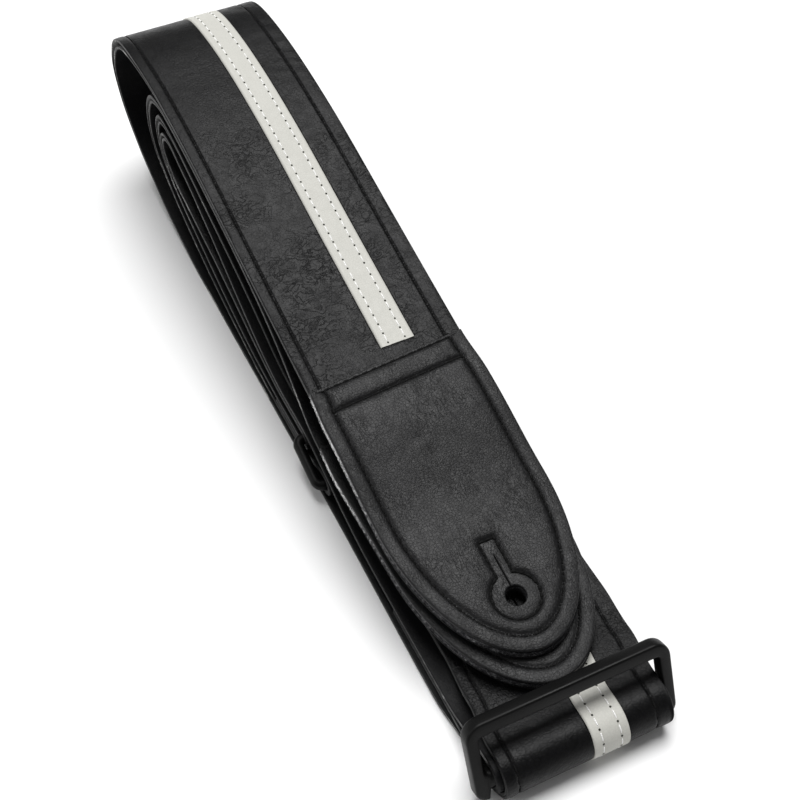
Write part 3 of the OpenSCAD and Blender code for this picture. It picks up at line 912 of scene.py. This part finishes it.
def plate(name, outline_at, hole_at, low, high, surface, spacing, relief, material, extra=(), back=False):
    """A sheet cut to an outline, with rounded upper edges. outline_at and hole_at give a loop for an
    inset. relief(p) lifts the top, and extra loops add detail where the sheet is sewn."""
    points, tops, edges, rims = [], [], [], []
    for k, inset in enumerate(RIM_STEPS):
        for loop in outline_at(inset), hole_at(inset):
            start = len(points)
            points += loop
            tops += [inset] * len(loop)
            edges += [(start + i, start + (i + 1) % len(loop)) for i in range(len(loop))]
            if k == 0:
                rims.append(list(range(start, start + len(loop))))
    outer, hole = outline_at(0), hole_at(0)
    guard, grown = outline_at(RIM + 0.2), hole_at(RIM + 0.2)

    def solid_at(p):
        return inside(outer, p) and not inside(hole, p)

    def clear_at(p):
        return inside(guard, p) and not inside(grown, p)

    kept = [at for loop in extra for at, _ in walk(loop, 0.9)[0] if clear_at(at)]
    cells = {}
    for p in kept:
        cells.setdefault((round(p.x), round(p.y)), []).append(p)

    def crowded(p):
        return any((q - p).length < spacing * 0.45 for dx in (-1, 0, 1) for dy in (-1, 0, 1)
                   for q in cells.get((round(p.x) + dx, round(p.y) + dy), ()))

    xs, ys = [p.x for p in outer], [p.y for p in outer]
    row, y = 0, min(ys)
    while y < max(ys):
        x = min(xs) + (spacing / 2 if row % 2 else 0)
        while x < max(xs):
            p = Vector((x, y))
            if clear_at(p) and not crowded(p):
                kept.append(p)
            x += spacing
        y += spacing * 0.866
        row += 1
    points += kept
    tops += [RIM] * len(kept)
    flat, _, triangles, origin, _, _ = delaunay_2d_cdt(points, edges, [], 0, 1e-6)
    inset_of = [min(tops[i] for i in found) if found else RIM for found in origin]
    triangles = [t for t in triangles if solid_at(sum((flat[i] for i in t), Vector((0, 0))) / 3)]
    side = -1 if back else 1
    made = [surface(p.x, p.y, side * (high - rim_drop(inset) + relief(p)))
            for p, inset in zip(flat, inset_of)]
    made += [surface(p.x, p.y, side * low) for p in flat]
    n = len(flat)
    faces = []
    for a, b, c in triangles:
        turned = (flat[b] - flat[a]).cross(flat[c] - flat[a]) < 0
        top = (a, c, b) if turned == (side > 0) else (a, b, c)
        faces += [top, (top[2] + n, top[1] + n, top[0] + n)]
    renamed = {old: i for i, found in enumerate(origin) for old in found}
    used = {frozenset(pair) for a, b, c in triangles for pair in ((a, b), (b, c), (c, a))}
    for rim in rims:
        for a, b in zip(rim, rim[1:] + rim[:1]):
            a, b = renamed[a], renamed[b]
            if frozenset((a, b)) in used:
                faces.append((a, b, b + n, a + n))
    piece = new_piece(name, made, faces, material)
    fix_normals(piece)
    return piece


def fix_normals(piece):
    work = bmesh.new()
    work.from_mesh(piece.data)
    loose = [v for v in work.verts if not v.link_faces]
    bmesh.ops.delete(work, geom=loose, context="VERTS")
    bmesh.ops.recalc_face_normals(work, faces=work.faces)
    work.to_mesh(piece.data)
    work.free()


def tab_relief(tab, seed, puff):
    """The sewn face of a tab: drawn in along its rows, puffed up between them, and sunk inside the
    keyhole stitching."""
    outline = tab.outline(0, 3)
    rows = keyhole_rows(tab)

    def relief(p):
        edge = distance_to(outline[:-1], p, closed=False)
        near = distance_to(rows, p)
        groove = lambda away: GROOVE_DEPTH * math.exp(-(away / GROOVE_HALF) ** 2)
        lift = 0.20 * hump(edge, 2.2, 2.2) - groove(edge - TAB_IN)
        free = min(edge - TAB_IN, near)
        for back in CROSS_BACK if edge > TAB_IN - 0.6 else ():
            away = abs(p.y - tab.row_y(p.x, back))
            lift -= groove(away)
            free = min(free, away)
        lift -= 0.60 * math.exp(-(near / 0.5) ** 2)
        if inside(rows, p):
            return lift - 0.30 * smooth_step(near / 0.8)
        free = max(free, 0.0)
        lift += puff * (1 - math.exp(-free / 2.2))
        return lift + smooth_step(free / 4) * 0.9 * wrinkle(p.x, p.y, seed)
    return relief


def fuzz(name, tab, count, seed):
    """Short fibres that stand out of the stiffener's cut edge."""
    chance = random.Random(seed)
    loop = tab.outline(0, 1.0)
    found, _ = walk(loop, sum((b - a).length for a, b in zip(loop, loop[1:])) / count)
    points, faces = [], []
    for at, direction in found:
        out = Vector((direction.y, -direction.x))
        base_height = chance.uniform(-0.95, 0.95)
        tip = at + out * chance.uniform(0.15, 0.75) + direction * chance.uniform(-0.6, 0.6)
        at = at - out * 0.2
        low = tab.surface(at.x, at.y, base_height)
        high = tab.surface(tip.x, tip.y, base_height + chance.uniform(-0.5, 0.5))
        along = (high - low).normalized()
        side = along.cross(Vector((0, 0, 1))).normalized()
        up = side.cross(along)
        middle = low.lerp(high, 0.55) + up * chance.uniform(-0.1, 0.1) * MM
        tube(points, faces, ((low, 0.08 * MM), (middle, 0.07 * MM), (high, 0.03 * MM)), side, up, 3)
    return new_piece(name, points, faces, FIBRE)


def make_tab(prefix, knots, tip, lean, hole_y, seed, puff):
    """A whole tab. lean is how far its tip lies to +X, and puff how far its face swells between rows."""
    tab = Tab(knots, tip, lean, hole_y)
    hole = lambda inset: keyhole(tab, inset)
    plain = lambda p: 0.0
    beside = (-0.9, -0.4, 0.0, 0.4, 0.9)
    inner = [tab.outline(TAB_IN + d)[1:-1] for d in (-0.8, -0.35, 0.0, 0.35, 0.8)]
    inner += [keyhole_rows(tab, d) for d in (*beside, 1.6)]
    inner += [[Vector((x, tab.row_y(x, back - d))) for x in (4 - TAB_HALF, TAB_HALF - 4)]
              for back in CROSS_BACK for d in beside]
    face = plate(prefix + "_face", tab.outline, hole, CORE, CORE + PLY, tab.surface, 1.15,
                 tab_relief(tab, seed, puff), TAB_VINYL, inner)
    back_ply = plate(prefix + "_back", tab.outline, hole, CORE, CORE + PLY, tab.surface, 2.4, plain,
                     BACK_VINYL, back=True)

    def uneven(inset):
        """The stiffener's outline, cut by hand."""
        shaky = lambda p, more: noise.noise(Vector((p.x * 1.7, p.y * 1.7, seed + more)))
        return [p + Vector((shaky(p, 0), shaky(p, 5))) * 0.22 for p in tab.outline(inset + 0.05, 0.5)]

    def sew(row, paths, height, pitch, length, radius):
        made = stitches(f"{prefix}_{row}_thread", paths, tab.surface, height, pitch, length, radius,
                        BLACK_THREAD, BLACK_HOLE_SHADE, 0.5)
        return (made[0], "black_thread", row + "_stitching"), (made[1], "black_thread")

    core = plate(prefix + "_stiffener", uneven, hole, -0.98, 0.98, tab.surface, 3.0, plain, FIBRE)
    hairs = fuzz(prefix + "_edge_fibres", tab, 1500, seed)
    half = TAB_HALF - TAB_IN
    crosses = [[Vector((x + tab.middle(tab.rear - back), tab.row_y(x, back))) for x in (-half, half)]
               for back in CROSS_BACK]
    sunk = CORE + PLY - THREAD_SUNK
    settle(riding(prefix), prefix, (face, "vinyl", "face"), (back_ply, "vinyl", "back"),
           (core, "stiffener", "stiffener", "strap_end"), (hairs, "stiffener"),
           *sew("edge", [tab.outline(TAB_IN, 0.8)], sunk, TAB_PITCH, 2.5, 0.4),
           *sew("cross", crosses, sunk, TAB_PITCH, 2.5, 0.4),
           *sew("keyhole", [keyhole_rows(tab)], sunk - 0.02, 2.2, 2.0, 0.45))


make_tab("upper_tab", UPPER_KNOTS, -118.3, 1.5, -101.9, 21.3, 0.6)
make_tab("lower_tab", LOWER_KNOTS, -126.2, 2.6, -107, 41.9, 0.15)


# ------------------------ hardware

RING_OUT = 29.1
RING_SIDE = 3.3
ADJUSTER_TILT = 66
ADJUSTER_PITCH = 17
ADJUSTER_T = 4.4
ADJUSTER_TOE = 6
ADJUSTER_OUT = 30.7
ADJUSTER_IN = 27.2
ADJUSTER_CORNERS = (5, 3.4)  # radius at its far bar and at its toe


def round_rectangle(low, high, radius, low_radius=None, corner_steps=10, side_steps=8):
    """A closed outline, anticlockwise, with the same number of points whatever its size."""
    near = radius if low_radius is None else low_radius
    along = [0.006] + [i / side_steps for i in range(2, side_steps - 1)] + [0.994]
    corners = []
    for k, (right, top, r) in enumerate(((1, 1, radius), (0, 1, radius), (0, 0, near), (1, 0, near))):
        centre = Vector((high[0] - r if right else low[0] + r, high[1] - r if top else low[1] + r))
        corners.append([centre + r * heading(a) for a in spread_count(90 * k, 90 * k + 90, corner_steps)])
    loop = []
    for corner, after in zip(corners, corners[1:] + corners[:1]):
        loop += corner + [corner[-1].lerp(after[0], t) for t in along]
    return loop


def frame_mesh(name, body, node, outer, inner, half_thickness, power, tilt, centre, around=28):
    """A closed frame: at each point of its outline, a rounded section between outer and inner edge. A
    power of 2 makes it an ellipse, and a higher one squares it."""
    rotation = Euler((math.radians(tilt), 0, 0)).to_matrix()
    points, faces = [], []
    n = len(outer)
    for i, (a, b) in enumerate(zip(outer, inner)):
        middle = (a + b) / 2
        reach = (a - b) / 2
        thick = half_thickness(middle)
        sharp = power(middle)
        for k in range(around):
            t = 2 * math.pi * k / around
            c, s = math.cos(t), math.sin(t)
            along = math.copysign(abs(c) ** (2 / sharp), c)
            up = math.copysign(abs(s) ** (2 / sharp), s)
            local = Vector((middle.x + reach.x * along, middle.y + reach.y * along, thick * up))
            points.append((rotation @ local + centre) * MM)
    for i in range(n):
        bridge(faces, i * around, (i + 1) % n * around, around)
    piece = new_piece(name, points, faces, PLASTIC)
    fix_normals(piece)
    settle(riding(body), "", (piece, "hardware", node))


def make_adjuster():
    rear = ADJUSTER_PITCH + ADJUSTER_T / 2
    outer = round_rectangle((-ADJUSTER_OUT, -ADJUSTER_TOE), (ADJUSTER_OUT, rear), *ADJUSTER_CORNERS)
    outer = [Vector((p.x, max(p.y, -BAR_R))) if abs(p.x) < ADJUSTER_IN else p for p in outer]
    inner = round_rectangle((-ADJUSTER_IN, BAR_R), (ADJUSTER_IN, rear - ADJUSTER_T), 1.0)

    def bar(p):
        """1 on the round bar, falling to 0 on the flat frame."""
        return (1 - smooth_step((p.y - 0.5) / 3)) * (1 - smooth_step((abs(p.x) - ADJUSTER_IN + 1) / 0.8))

    half = ADJUSTER_T / 2
    frame_mesh("adjuster", "adjuster", "adjuster_frame", outer, inner,
               lambda p: half + bar(p) * (BAR_R - half), lambda p: 5.5 - 3.5 * bar(p), ADJUSTER_TILT,
               Vector((0, BAR_Y, BAR_Z)))


def make_ring():
    reach = Vector(REAR_BAR) - Vector(FRONT_BAR)
    outer = Vector((RING_OUT, reach.length / 2 + RING_R))
    inner = outer - Vector((RING_SIDE, 2 * RING_R))
    centre = (Vector(REAR_BAR) + Vector(FRONT_BAR)) / 2
    frame_mesh("joining_loop", "ring", "joining_ring", round_rectangle(-outer, outer, 3.8),
               round_rectangle(-inner, inner, 0.8), lambda p: RING_R, lambda p: 2.2,
               math.degrees(math.atan2(reach.y, reach.x)), Vector((0, centre.x + SHIFT_Y, centre.y)))


make_adjuster()
make_ring()


# ------------------------ floor and light

FLOOR_HALF = 20.0  # in metres, so that low views see no horizon


def make_floor():
    square = (-1, -1), (1, -1), (1, 1), (-1, 1)
    corners = [(x * FLOOR_HALF, y * FLOOR_HALF, cad_box[0][2]) for x, y in square]
    white = Surface("floor_white", (0.9, 0.9, 0.9), 0.9, 0.1).material
    new_piece("floor", corners, [(0, 1, 2, 3)], white)


def make_sun(name, direction, spread, strength):
    """A broad, soft light from far away, so that the whole floor is lit evenly."""
    light = bpy.data.lights.new(name, "SUN")
    light.angle = math.radians(spread)
    light.energy = strength
    lamp = link(bpy.data.objects.new(name, light))
    lamp.location = Vector(direction)
    lamp.rotation_euler = (-Vector(direction)).to_track_quat("-Z", "Y").to_euler()


def make_world(strength):
    """An even grey light all round, behind a white backdrop."""
    world = bpy.data.worlds.new("studio")
    bpy.context.scene.world = world
    world.use_nodes = True
    graph = Graph(world.node_tree)
    sockets = graph.nodes["Background"].inputs
    graph.put(sockets["Color"], (1, 1, 1, 1))
    seen = graph.add("ShaderNodeLightPath").outputs["Is Camera Ray"]
    graph.put(sockets["Strength"], graph.math("MULTIPLY_ADD", seen, 1 - strength, strength))


make_floor()
make_world(0.22)
make_sun("key", (0.22, 0.38, 1.2), 40, 3.4)
make_sun("rim", (-0.9, 0.25, 0.6), 30, 0.6)
bpy.context.scene.view_settings.view_transform = "Standard"
